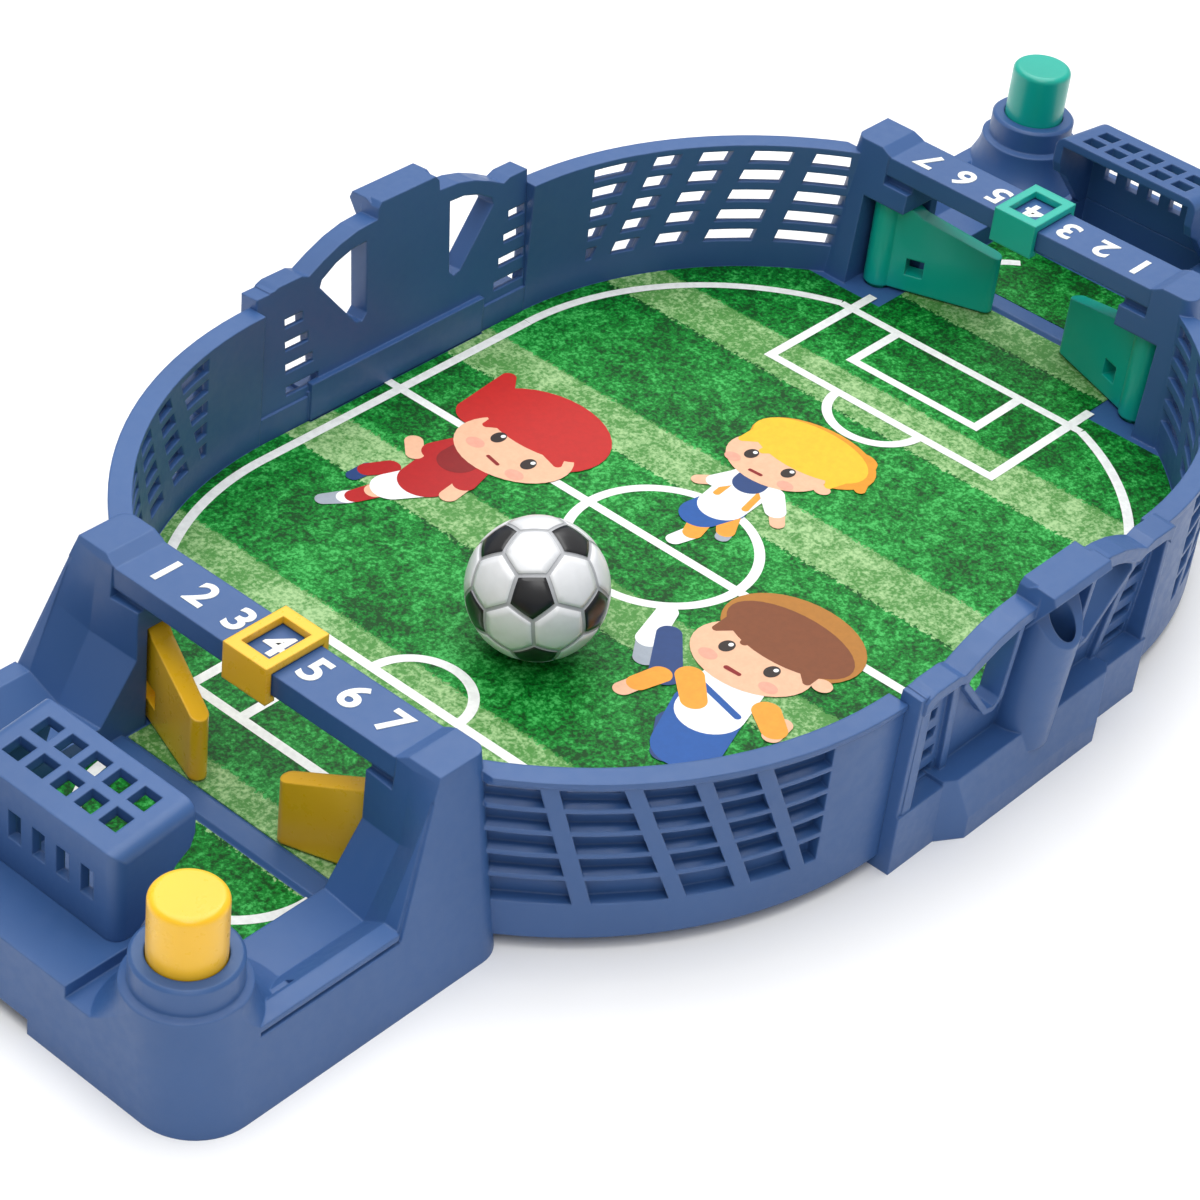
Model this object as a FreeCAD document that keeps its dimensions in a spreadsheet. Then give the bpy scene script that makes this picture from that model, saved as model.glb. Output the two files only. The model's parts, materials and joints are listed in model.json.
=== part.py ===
import FreeCAD, Part
import math
import os

V = FreeCAD.Vector
doc = FreeCAD.newDocument("tabletop_football")
sheet = doc.addObject("Spreadsheet::Sheet", "Sheet")

# Driving dimensions in millimetres and degrees.  Heights called "..._rise" are
# measured from the playing surface; the underside of the frame stands at height 0.
DRIVING = {
    "pitch_top": 7.5,
    "sheet_thick": 0.3,
    "floor_thick": 1.6,
    "half_width": 79.0,
    "straight_half": 38.2,
    "bend_radius": 84.5,
    "wall_thick": 4.0,
    "plate_skin": 1.2,
    "bridge_lean": 4.5,
    "far_post_shift": 3.6,
    "near_post_shift": -1.2,
    "wall_foot": 3.0,
    "wall_rise": 31.2,
    "bridge_half": 40.0,
    "block_end": 180.5,
    "block_half": 51.5,
    "block_top_end": 179.8,
    "block_top_half": 44.8,
    "block_inner": 104.5,
    "post_inner": 108.0,
    "post_outer": 120.0,
    "post_rise": 35.0,
    "ridge_rise": 9.7,
    "deck_rise": 5.0,
    "chute_half": 28.5,
    "chute_end": 151.0,
    "bar_rise": 33.5,
    "bar_under": 29.0,
    "button_x": 169.0,
    "button_y": 37.0,
    "button_radius": 6.75,
    "button_rise": 34.5,
    "button_travel": 6.0,
    "turret_rise": 22.0,
    "turret_radius": 9.6,
    "cavity_radius": 8.8,
    "hinge_x": 112.0,
    "hinge_y": 35.3,
    "pin_radius": 1.0,
    "flipper_reach": 27.0,
    "flipper_back": 20.0,
    "flipper_swing": 45.0,
    "hub_radius": 3.4,
    "cover_under": 0.3,
    "cover_thick": 1.2,
    "plate_thick": 1.6,
    "play_gap": 0.3,
    "goal_front": 150.5,
    "goal_back": 168.0,
    "goal_half": 19.0,
    "goal_rise": 31.0,
    "goal_back_rise": 28.6,
    "goal_wall": 2.0,
    "hole_pitch": 6.0,
    "hole_size": 4.2,
    "ball_radius": 14.0,
    "ball_x": -47.0,
    "ball_y": -3.0,
    "marker_half": 5.4,
    "marker_wall": 1.3,
}
for row, (alias, value) in enumerate(DRIVING.items(), start=1):
    sheet.set(f"A{row}", alias)
    sheet.set(f"B{row}", str(value))
    sheet.setAlias(f"B{row}", alias)
doc.recompute()

nodes = []


def size(alias):
    return float(sheet.get(alias))


def keep(obj, label):
    """Give a finished sub-part its own label and put it on the export list."""
    obj.Label = label
    nodes.append(obj)
    return obj


def feature(label, shape):
    """A sub-part whose shape comes from Part's own functions."""
    obj = doc.addObject("Part::Feature", label)
    obj.Shape = shape
    obj.Placement = shape.Placement
    return keep(obj, label)


def bound_box(name, low, high):
    """A Part::Box between two corners, each coordinate an expression."""
    obj = doc.addObject("Part::Box", name)
    for prop, axis, lo, hi in zip(("Length", "Width", "Height"), "xyz", low, high):
        obj.setExpression(prop, f"({hi}) - ({lo})")
        obj.setExpression(f".Placement.Base.{axis}", f"{lo}")
    return obj


def bound_cylinder(name, x, y, low, high, radius):
    """A standing Part::Cylinder, each size an expression."""
    obj = doc.addObject("Part::Cylinder", name)
    obj.setExpression("Radius", radius)
    obj.setExpression("Height", f"({high}) - ({low})")
    obj.setExpression(".Placement.Base.x", x)
    obj.setExpression(".Placement.Base.y", y)
    obj.setExpression(".Placement.Base.z", low)
    return obj


def fused(name, shapes):
    obj = doc.addObject("Part::MultiFuse", name)
    obj.Shapes = shapes
    obj.Refine = True
    return obj


def less(name, base, tool):
    obj = doc.addObject("Part::Cut", name)
    obj.Base = base
    obj.Tool = tool
    obj.Refine = True
    return obj


def span(sign, low, high):
    """A range given outward from the centre, as expressions on one side of it."""
    if sign > 0:
        return low, high
    return f"-({high})", f"-({low})"


def block(low, high):
    return Part.makeBox(high[0] - low[0], high[1] - low[1], high[2] - low[2], V(*low))


def rod(x, y, low, high, radius):
    return Part.makeCylinder(radius, high - low, V(x, y, low))


def prism(points, direction):
    """Closed outline through 3-D points, extruded along a vector."""
    wire = Part.makePolygon([V(*p) for p in points] + [V(*points[0])])
    return Part.Face(wire).extrude(V(*direction))


def side_prism(profile, y_low, y_high):
    """Outline in x and z, extruded from one y to another."""
    return prism([(x, y_low, z) for x, z in profile], (0, y_high - y_low, 0))


def both_sides(shape):
    return [shape, shape.mirror(V(0, 0, 0), V(0, 1, 0))]


def clean(shape):
    return shape.removeSplitter()


# ---------------------------------------------------------------- frame halves

PITCH = size("pitch_top")
FLOOR_TOP = PITCH - size("sheet_thick")
FLOOR_UNDER = FLOOR_TOP - size("floor_thick")


def bend_angle_at(offset, x):
    """Angle from the Y axis where the bent wall reaches this x."""
    return math.asin((x - size("straight_half")) / (size("bend_radius") + offset))


def oval_face(offset, x_start, x_end):
    """Area between the long walls from x_start outward, grown by offset."""
    radius = size("bend_radius") + offset
    straight = size("straight_half")
    centre_y = size("half_width") - size("bend_radius")
    first = bend_angle_at(offset, max(x_start, straight))
    stop = bend_angle_at(offset, x_end)

    def on_bend(part, side):
        angle = first + (stop - first) * part
        y = centre_y + radius * math.cos(angle)
        return V(straight + radius * math.sin(angle), side * y, 0)

    edges = []
    ends = []
    for side in (-1, 1):
        bend = [on_bend(part, side) for part in (0, 0.5, 1)]
        edges.append(Part.Arc(*bend).toShape())
        start = bend[0]
        if x_start < straight:
            start = V(x_start, bend[0].y, 0)
            edges.append(Part.LineSegment(start, bend[0]).toShape())
        ends.append((start, bend[2]))
    (near_start, near_end), (far_start, far_end) = ends
    edges.append(Part.LineSegment(near_start, far_start).toShape())
    edges.append(Part.LineSegment(near_end, far_end).toShape())
    return Part.Face(Part.Wire(Part.__sortEdges__(edges)))


def oval_slab(offset, x_start, x_end, low, high):
    slab = oval_face(offset, x_start, x_end).extrude(V(0, 0, high - low))
    slab.translate(V(0, 0, low))
    return slab


def bend_frame(angle):
    """Point on the inner wall, with its outward and sideways directions."""
    centre_y = size("half_width") - size("bend_radius")
    outward = V(math.sin(angle), math.cos(angle), 0)
    along = V(math.cos(angle), -math.sin(angle), 0)
    foot = V(size("straight_half"), centre_y, 0) + outward * size("bend_radius")
    return foot, outward, along


RIB_TOPS = (22.0, 29.5, 37.6, 47.0)
GRILLE_ENDS = (12.3, 54.8)
ROW_TOPS = [PITCH + 29.3 - 5.1 * row for row in range(5)]


def rib_angle(index, z):
    """Angle of a leaning rib at one height; the ends of the grille stand upright."""
    if index == 0:
        return math.radians(GRILLE_ENDS[0])
    if index == 5:
        return math.radians(GRILLE_ENDS[1])
    lean = 5.0 if index == 4 else 6.8
    drop = (ROW_TOPS[0] - z) / 25.0
    return math.radians(RIB_TOPS[index - 1] - lean * drop)


def wall_cell(column, low, high, margin, depth_from, depth_to):
    """One opening between two ribs, cut square to the wall at its middle."""
    half_rib = 1.35 / size("bend_radius")
    middle = 0.5 * (rib_angle(column, high) + rib_angle(column + 1, high))
    foot, outward, along = bend_frame(middle)
    reach = size("bend_radius")
    corners = []
    for z in (high, low):
        start = rib_angle(column, z) + (half_rib if column else 0) + margin
        stop = rib_angle(column + 1, z) - (half_rib if column < 4 else 0) - margin
        ends = [foot + along * reach * math.tan(angle - middle) for angle in (start, stop)]
        corners.append([V(p.x, p.y, z) + outward * depth_from for p in ends])
    (a, b), (d, c) = corners
    return Part.Face(Part.makePolygon([a, b, c, d, a])).extrude(outward * (depth_to - depth_from))


def grille_cells():
    """Deep cells outside and, a little higher, the thin slots that pierce the plate."""
    skin = size("plate_skin")
    cells = []
    for row, top in enumerate(ROW_TOPS):
        low = top - 4.1 if row < 4 else PITCH + 3.4
        slot_top = top + (0.75 if row else 0.45)
        for column in range(5):
            cells.append(wall_cell(column, low, top, 0, skin, 9))
            cells.append(wall_cell(column, slot_top - 3.05, slot_top, 0.013, -4, skin + 1.0))
    return cells


def ring_wall(offset_in, offset_out, low, high):
    """The bent side walls of one half as two standing bands."""
    start, stop = size("bridge_half"), 109.5
    band = oval_slab(offset_out, start, stop, low, high)
    return band.cut(oval_slab(offset_in, start - 1, stop + 8, low - 1, high + 1))


def side_walls():
    foot, wall_top = size("wall_foot"), PITCH + size("wall_rise")
    wall = ring_wall(0, size("wall_thick"), foot, wall_top)
    lip = ring_wall(size("wall_thick") - 0.2, size("wall_thick") + 0.5, wall_top - 1.2, wall_top)
    for side in both_sides(Part.makeCompound(grille_cells())):
        wall = wall.cut(side)
    return wall.fuse(lip)


def rounded_rect(x_low, x_high, half, radius_in, radius_out, z):
    """Rectangle outline at one height, its two ends rounded differently."""
    wire_points = [
        (V(x_low + radius_in, -half, z), V(x_high - radius_out, -half, z)),
        (V(x_high, -half + radius_out, z), V(x_high, half - radius_out, z)),
        (V(x_high - radius_out, half, z), V(x_low + radius_in, half, z)),
        (V(x_low, half - radius_in, z), V(x_low, -half + radius_in, z)),
    ]
    radii = [radius_out, radius_out, radius_in, radius_in]
    centres = [
        V(x_high - radius_out, -half + radius_out, z),
        V(x_high - radius_out, half - radius_out, z),
        V(x_low + radius_in, half - radius_in, z),
        V(x_low + radius_in, -half + radius_in, z),
    ]
    turns = [-45, 45, 135, 225]
    edges = []
    for index, (start, end) in enumerate(wire_points):
        edges.append(Part.LineSegment(start, end).toShape())
        turn = math.radians(turns[index])
        middle = centres[index] + V(math.cos(turn), math.sin(turn), 0) * radii[index]
        following = wire_points[(index + 1) % 4][0]
        edges.append(Part.Arc(end, middle, following).toShape())
    return Part.Wire(edges)


def block_hull():
    """Tapered outer body of the end block, from the table to the post tops."""
    top = PITCH + size("post_rise")
    base = rounded_rect(size("block_inner"), size("block_end"), size("block_half"), 7, 12, 0)
    crown = rounded_rect(size("post_inner"), size("block_top_end"), size("block_top_half"),
                         2.5, 10.5, top)
    return Part.makeLoft([base, crown], True, True)


def deck_tool():
    """Room above one deck: steep at the post, level behind it, rising to the ridge."""
    far, roof = 182, PITCH + 60
    deck, ridge = PITCH + size("deck_rise"), PITCH + size("ridge_rise")
    post, post_top = size("post_outer"), PITCH + size("post_rise")
    sections = {
        size("chute_half") - 0.5: [(post, post_top), (post, PITCH + 16), (post + 8.5, deck)],
        39.0: [(post, post_top), (post + 2.0, PITCH + 18), (post + 9.5, deck)],
        45.0: [(post - 0.5, post_top), (post + 5.0, PITCH + 22.5), (post + 11.0, ridge)],
    }
    wires = []
    for y, points in sections.items():
        level = points[-1][1]
        outline = points + [(far, level), (far, roof), (points[0][0], roof)]
        wires.append(Part.makePolygon([V(x, y, z) for x, z in outline + outline[:1]]))
    return Part.makeLoft(wires, True, True)


def turret_body():
    """Button turret with its hollow flare down to the deck."""
    rim, shoulder = PITCH + size("turret_rise"), PITCH + 16
    deck = PITCH + size("deck_rise") - 2
    radius = size("turret_radius")
    start, end = V(radius + 1.5, 0, shoulder), V(radius + 16, 0, deck + 2)
    middle = V(radius + 4.6, 0, deck + 5.2)
    edges = [
        Part.LineSegment(V(0, 0, deck), V(0, 0, rim)).toShape(),
        Part.LineSegment(V(0, 0, rim), V(radius - 0.6, 0, rim)).toShape(),
        Part.LineSegment(V(radius - 0.6, 0, rim), V(radius, 0, rim - 0.6)).toShape(),
        Part.LineSegment(V(radius, 0, rim - 0.6), V(radius, 0, shoulder + 0.5)).toShape(),
        Part.LineSegment(V(radius, 0, shoulder + 0.5), start).toShape(),
        Part.Arc(start, middle, end).toShape(),
        Part.LineSegment(end, V(radius + 16, 0, deck)).toShape(),
        Part.LineSegment(V(radius + 16, 0, deck), V(0, 0, deck)).toShape(),
    ]
    body = Part.Face(Part.Wire(edges)).revolve(V(0, 0, 0), V(0, 0, 1), 360)
    body.translate(V(size("button_x"), size("button_y"), 0))
    return body


def side_groove():
    """Shallow line that follows the ridge round the outside of one block side."""
    depth, width = 0.7, 0.9
    path = [(163.5, PITCH + 8.2), (131.2, PITCH + 8.2), (121.6, PITCH + 31.0)]
    tools = []
    for (x0, z0), (x1, z1) in zip(path, path[1:]):
        length = math.hypot(x1 - x0, z1 - z0)
        tool = Part.makeBox(length, 12, width, V(0, 0, -0.5 * width))
        tool.rotate(V(0, 0, 0), V(0, 1, 0), -math.degrees(math.atan2(z1 - z0, x1 - x0)))
        tool.translate(V(x0, 40, z0))
        tools.append(tool)
    shrunk = block_hull()
    middle = V(142, 0, 20)
    shrunk.translate(middle * -1)
    scale = FreeCAD.Matrix()
    inset = 1 - depth / 48.0
    scale.scale(V(1, inset, 1))
    shrunk = shrunk.transformGeometry(scale)
    shrunk.translate(middle)
    return tools[0].fuse(tools[1]).cut(shrunk)


def end_block():
    far, roof = 190, PITCH + 60
    post_top, ridge = PITCH + size("post_rise"), PITCH + size("ridge_rise")
    outline = [(100, 0), (100, post_top), (size("post_outer") - 0.5, post_top),
               (size("post_outer") + 11.0, ridge), (far, ridge), (far, 0)]
    body = block_hull().common(side_prism(outline, -60, 60))
    for tool in both_sides(deck_tool()):
        body = body.cut(tool.common(block((100, -60, 0), (163, 60, roof))))
    lower = PITCH + 7.2
    for tool in both_sides(block((size("chute_end"), 20.5, lower), (far, 44, roof))):
        body = body.cut(tool)
    hull = block_hull()
    for turret in both_sides(turret_body()):
        body = body.fuse(turret.common(hull).cut(block((0, -20.5, 0), (200, 20.5, 90))))
    # Tops of the posts: level with the bar, then up to the outer edge.
    bar_top = PITCH + size("bar_rise")
    slope = [(100, 0, bar_top), (100, 34.6, bar_top), (100, 38.2, post_top + 0.4),
             (100, 38.2, roof), (100, 0, roof)]
    for tool in both_sides(prism(slope, (24, 0, 0))):
        body = body.cut(tool)
    # Chute between the posts, open to the pitch, and the goal's floor.
    chute = size("chute_half")
    body = body.cut(block((95, -chute, FLOOR_TOP), (size("chute_end"), chute, roof)))
    body = body.cut(block((150, -17, FLOOR_TOP), (166, 17, roof)))
    body = body.fuse(block((size("post_inner"), -chute - 0.5, PITCH + size("bar_under")),
                           (size("post_outer"), chute + 0.5, bar_top)))
    rib = [(122.5, FLOOR_TOP), (123.3, PITCH + 0.6), (127.7, PITCH + 0.6), (128.5, FLOOR_TOP)]
    body = body.fuse(side_prism(rib, -chute, chute))
    # Alcove for each flipper's hub, and a run for the marker's hooks.
    for tool in both_sides(block((95, chute - 1, FLOOR_TOP), (117.6, 39.6, PITCH + 22.2))):
        body = body.cut(tool)
    hook_low, hook_high = PITCH + size("bar_under") - 2.1, PITCH + size("bar_under")
    for edge in (size("post_inner") - 1, size("post_outer") - 1.3):
        for tool in both_sides(block((edge, 20, hook_low), (edge + 2.3, 35.2, hook_high))):
            body = body.cut(tool)
    for low, high in ((105, size("post_inner")), (size("post_outer"), 122)):
        for tool in both_sides(block((low, 27, hook_low), (high, 35.2, roof))):
            body = body.cut(tool)
    for tool in both_sides(side_groove()):
        body = body.cut(tool)
    # Finger notch under the end.
    return body.cut(block((176, -11.5, -1), (185, 11.5, 3.3)))


def block_cavities():
    """Underside hollows of the end block, one side and the middle."""
    bx, by = size("button_x"), size("button_y")
    ceiling = PITCH + size("deck_rise") - 2
    flange_roof = PITCH + 12.7
    inner = size("cavity_radius")
    tools = [
        Part.Face(rounded_rect(107, 178, 48, 4, 9.5, -1)).extrude(V(0, 0, FLOOR_UNDER + 1)),
        block((168, -19, FLOOR_UNDER - 1), (177, 19, ceiling + 2)),
    ]
    sides = [
        rod(bx, by, -1, flange_roof, inner),
        rod(bx, by, 0, PITCH + 40, size("button_radius") + 0.2),
        block((bx - 14, by - inner, FLOOR_UNDER - 1), (bx, by + inner, ceiling)),
        block((122.5, 30.4, FLOOR_UNDER - 1), (bx - 12, 46.4, ceiling)),
        block((103, 23.4, -1), (108, 31.4, FLOOR_UNDER)),
    ]
    for shape in sides:
        tools.extend(both_sides(shape))
    return tools


SCREW_SPOTS = [(121.0, 13.0), (121.0, -13.0), (160.0, 13.0), (160.0, -13.0)]
BRIDGE_SCREW_SPOTS = [(14.0, 71.5), (30.0, 71.5), (14.0, -71.5), (30.0, -71.5)]
SCREW_RADIUS = 1.1


def frame_half_shape():
    body = end_block()
    floor = oval_slab(0.6, 0, 109.5, FLOOR_UNDER, FLOOR_TOP)
    floor = floor.fuse(block((105, -43, FLOOR_UNDER), (119, 43, FLOOR_TOP)))
    bridge = size("bridge_half")
    for tool in both_sides(block((-1, size("half_width") - 0.1, 0), (bridge, 90, 50))):
        floor = floor.cut(tool)
    body = body.fuse(floor).fuse(side_walls())
    for tool in block_cavities():
        body = body.cut(tool)
    # Stiffening ribs and the wall that carries the joint at the middle.
    under = 3.2
    ribs = [
        block((0, -62, under), (2.0, 62, FLOOR_UNDER)),
        block((55, -60, under), (56.6, 60, FLOOR_UNDER)),
        block((0, -1, under), (107.5, 1, FLOOR_UNDER)),
    ]
    ribs += both_sides(block((0, 44, under), (92, 45.6, FLOOR_UNDER)))
    for rib in ribs:
        body = body.fuse(rib)
    for x, y in SCREW_SPOTS:
        boss_top = FLOOR_UNDER + 0.2
        low = size("cover_under") + size("cover_thick")
        body = body.fuse(rod(x, y, low, boss_top, 3.2))
        body = body.cut(rod(x, y, low - 0.1, FLOOR_UNDER - 0.2, SCREW_RADIUS))
    for side in (-1, 1):
        x, y = size("hinge_x"), side * size("hinge_y")
        body = body.cut(rod(x, y, FLOOR_UNDER - 1, FLOOR_TOP + 1, 2.9))
        body = body.cut(rod(x, y, PITCH + 20, PITCH + 27, size("pin_radius")))
    for x, y in BRIDGE_SCREW_SPOTS:
        body = body.cut(rod(x, y, FLOOR_UNDER - 1, FLOOR_TOP - 0.3, SCREW_RADIUS))
    return clean(body)


def build_frame_halves():
    green = frame_half_shape()
    yellow = green.copy()
    yellow.rotate(V(0, 0, 0), V(0, 0, 1), 180)
    feature("frame_half_green", green)
    feature("frame_half_yellow", yellow)


# ---------------------------------------------------------------- side bridges

def bridge_window():
    """Three-cornered window beside the middle post, as an outline in x and z."""
    rise = [(12.4, 18.6), (12.4, 35.4), (16.6, 35.2), (21.2, 33.8), (25.4, 31.4),
            (26.0, 29.8), (15.8, 17.8), (13.8, 17.2)]
    return [(x, PITCH + z) for x, z in rise]


def bridge_outline():
    """Silhouette of half the bridge: tab, arch and tall middle post."""
    reach = size("bridge_half")
    rise = [(reach, 0), (reach, 32.8), (39.2, 33.8), (37.6, 34.4), (31.0, 34.4), (29.0, 33.6),
            (25.0, 35.6), (20.0, 37.6), (15.0, 38.8), (9.2, 39.2), (9.0, 41.6),
            (8.0, 42.8), (0, 42.8), (0, 0)]
    return [(x, PITCH + z) for x, z in rise]


def window_collar(inset):
    """The window outline grown by an even margin, for its raised collar."""
    points = bridge_window()
    wire = Part.makePolygon([V(x, 0, z) for x, z in points + points[:1]])
    if inset == 0:
        return Part.Face(wire)
    return Part.Face(wire.makeOffset2D(inset))


def leaning_panel(shift):
    """Upright part of the bridge, its post a little off centre, tipped outward about its foot."""
    inner, skin, reach = size("half_width"), 2.4, size("bridge_half")
    panel = side_prism(bridge_outline(), inner, inner + skin)
    # Broad head of the post, sloping down towards the pitch.
    head = [(inner, PITCH + 28), (inner, PITCH + 40.2), (inner + 3.6, PITCH + 42.8),
            (inner + 7.6, PITCH + 42.8), (inner + 8.4, PITCH + 41.2), (inner + 2, PITCH + 30)]
    slope = [(inner - 1, PITCH + 39.6), (inner + 3.6, PITCH + 42.8), (inner + 3.6, PITCH + 50),
             (inner - 1, PITCH + 50)]
    panel = panel.fuse(prism([(0, y, z) for y, z in head], (9.0, 0, 0)))
    panel = panel.cut(prism([(-1, y, z) for y, z in slope], (14, 0, 0)))
    # Broad top edge of tab and arch, and the raised collar of the window.
    top = side_prism(bridge_outline(), inner, inner + 5.0)
    inside = [(x - 1.4 if x > 5 else x - 5, z - 2.6) for x, z in bridge_outline()]
    top = top.cut(side_prism(inside, inner - 1, inner + 9))
    top = top.cut(block((-1, inner - 1, 0), (50, inner + 9, PITCH + 30)))
    collar = window_collar(1.3).extrude(V(0, 4.6, 0))
    collar.translate(V(0, inner, 0))
    panel = panel.fuse(top).fuse(collar)
    hole = window_collar(0).extrude(V(0, 20, 0))
    hole.translate(V(0, inner - 5, 0))
    panel = panel.cut(hole)
    # Slanting brace and side flange that stiffen the panel outside the window.
    brace = prism([(29.6, inner, PITCH + 33), (27.6, inner, PITCH + 33),
                   (23.2, inner, PITCH + 6), (25.2, inner, PITCH + 6)], (0, 3.6, 0))
    flange = prism([(37.4, inner, PITCH + 4), (37.4, inner + 6.4, PITCH + 4),
                    (37.4, inner + 4.4, PITCH + 34), (37.4, inner, PITCH + 34)],
                   (reach - 37.4, 0, 0))
    panel = panel.fuse(brace).fuse(flange)
    for row in range(4):
        high = PITCH + 26.4 - 5.3 * row
        narrow = 30.8 - 1.4 * row
        panel = panel.cut(block((narrow, inner - 5, high - 2.2), (36.0, inner + 1.9, high)))
        panel = panel.cut(block((narrow, inner + 1, high - 3.6), (36.0, inner + 6, high - 1.0)))
    whole = panel.fuse(panel.mirror(V(0, 0, 0), V(1, 0, 0)))
    # Half-round column with a slanted top and an oval well.
    column = rod(0, inner + 3.4, PITCH + 3, PITCH + 41, 6.7)
    column = column.cut(block((-20, inner - 9, 0), (20, inner + 1, 90)))
    slant = [(inner - 10, PITCH + 49.5), (inner + 20, PITCH + 17.5), (inner + 20, 90),
             (inner - 10, 90)]
    column = column.cut(prism([(-20, y, z) for y, z in slant], (40, 0, 0)))
    column = column.cut(rod(0, inner + 6.0, PITCH + 22, PITCH + 60, 3.2))
    whole = whole.fuse(column)
    whole.translate(V(shift, 0, 0))
    for start in (-reach - 9, reach):
        whole = whole.cut(block((start, inner - 9, 0), (start + 9, inner + 20, 90)))
    # The end left open by the shift is closed by a wider flange.
    start = -reach if shift > 0 else reach - abs(shift) - 0.5
    closing = [(inner, PITCH), (inner + 6.4, PITCH), (inner + 4.4, PITCH + 33.8),
               (inner, PITCH + 33.8)]
    whole = whole.fuse(prism([(start, y, z) for y, z in closing], (abs(shift) + 0.5, 0, 0)))
    whole.rotate(V(0, inner, PITCH), V(1, 0, 0), -size("bridge_lean"))
    return whole.cut(block((-50, inner - 9, -9), (50, inner + 20, PITCH - 0.6)))


def side_bridge_shape(shift):
    inner = size("half_width")
    reach = size("bridge_half")
    # Skirt: a deep foot with a stepped front whose ends slope back.
    half = block((0, inner, 0), (reach, inner + 2.4, PITCH + 0.2))
    half = half.fuse(block((0, inner, 0), (reach, inner + 7.0, PITCH + 6.0)))
    plan = [(0, inner), (26.5, inner), (26.5, inner + 6.9), (21.0, inner + 10.4),
            (0, inner + 10.4)]
    step = prism([(x, y, 0) for x, y in plan], (0, 0, PITCH + 7.0))
    chamfer = prism([(-1, inner + 10.6, 4.0), (-1, inner + 10.6, 30), (-1, inner + 8.4, 30),
                     (-1, inner + 8.4, PITCH + 7.0)], (60, 0, 0))
    half = half.fuse(step.cut(chamfer))
    # Low ledge along the inside foot of the wall.
    half = half.fuse(block((0, inner - 0.6, FLOOR_TOP + 0.3), (26, inner + 1, PITCH + 9.0)))
    # Hollow underside of the foot, and the tongue that ties the two frame halves.
    half = half.cut(block((-1, inner + 1.8, -1), (34.6, inner + 5.2, PITCH + 3.5)))
    lip_low = FLOOR_UNDER - 1.8
    half = half.fuse(block((0, inner - 13, lip_low), (37, inner + 1, FLOOR_UNDER)))
    half = half.cut(block((-1, inner - 20, 0), (2.3, inner - 1.5, FLOOR_UNDER + 0.01)))
    whole = half.fuse(half.mirror(V(0, 0, 0), V(1, 0, 0)))
    whole = whole.fuse(leaning_panel(shift))
    for sign in (-1, 1):
        for x in (14.0, 30.0):
            whole = whole.cut(rod(sign * x, 71.5, lip_low - 1, FLOOR_UNDER + 1, SCREW_RADIUS))
    return clean(whole)


def build_side_bridges():
    far = side_bridge_shape(size("far_post_shift"))
    near = side_bridge_shape(size("near_post_shift"))
    near.rotate(V(0, 0, 0), V(0, 0, 1), 180)
    feature("side_bridge_far", far)
    feature("side_bridge_near", near)


# ---------------------------------------------------------------- pitch sheet

def build_pitch_sheet():
    """Printed card on the floor, with a tongue into each goal."""
    gap = 0.3
    middle = oval_slab(-gap, 0, 109.0, FLOOR_TOP, PITCH)
    tongue = block((100, 0.5 - size("chute_half"), FLOOR_TOP),
                   (122.2, size("chute_half") - 0.5, PITCH))
    for tool in both_sides(block((103, 28, 0), (130, 60, 30))):
        middle = middle.cut(tool)
    ledge = block((-1, size("half_width") - 0.9, 0), (26.3, 90, 30))
    for tool in both_sides(ledge):
        middle = middle.cut(tool)
    mouth = block((128.8, 0.5 - size("chute_half"), FLOOR_TOP),
                  (size("chute_end") - gap, size("chute_half") - 0.5, PITCH))
    half = middle.fuse(tongue)
    whole = half.fuse(half.mirror(V(0, 0, 0), V(1, 0, 0)))
    feature("pitch_sheet", clean(whole))
    for name, turn in (("green", 0), ("yellow", 180)):
        card = mouth.copy()
        card.rotate(V(0, 0, 0), V(0, 0, 1), turn)
        feature(f"goal_sheet_{name}", card)


# ---------------------------------------------------------------- goals

def goal_shape():
    wall = size("goal_wall")
    front, back, half = size("goal_front"), size("goal_back"), size("goal_half")
    base = PITCH + size("ridge_rise")
    top_front, top_back = PITCH + size("goal_rise"), PITCH + size("goal_back_rise")
    outline = [(back, base), (back, top_back), (front, top_front), (front, PITCH + 24.5),
               (front + 1.0, PITCH + 21.8), (front + 4.0, PITCH + 19.8), (front + 12.6, base)]
    shell = side_prism(outline, -half, half)
    corners = [e for e in shell.Edges
               if abs(e.BoundBox.YLength) < 0.01 and abs(e.CenterOfMass.y) > half - 0.1
               and e.CenterOfMass.z > top_back - 1 and e.BoundBox.XLength > 10]
    corners += [e for e in shell.Edges if e.BoundBox.ZLength > 10 and e.BoundBox.XLength < 0.01
                and e.BoundBox.YLength < 0.01 and e.CenterOfMass.x > back - 1]
    shell = shell.makeFillet(2.6, corners)
    inside = [(back - wall, base - 1), (back - wall, top_back - wall),
              (front - 1, top_front - wall + 0.1), (front - 1, base - 1)]
    shell = shell.cut(side_prism(inside, wall - half, half - wall))
    pitch, hole = size("hole_pitch"), size("hole_size")
    for column in range(5):
        y = (column - 2) * pitch
        for x in (front + 5.0, front + 11.2):
            shell = shell.cut(block((x - hole / 2, y - hole / 2, PITCH + 24),
                                    (x + hole / 2, y + hole / 2, PITCH + 40)))
        shell = shell.cut(block((back - 4, y - 1.6, PITCH + 16.4),
                                (back + 2, y + 1.6, PITCH + 22.6)))
    return clean(shell)


def build_goals():
    green = goal_shape()
    yellow = green.copy()
    yellow.rotate(V(0, 0, 0), V(0, 0, 1), 180)
    feature("goal_green", green)
    feature("goal_yellow", yellow)


# ---------------------------------------------------------------- score markers

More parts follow.
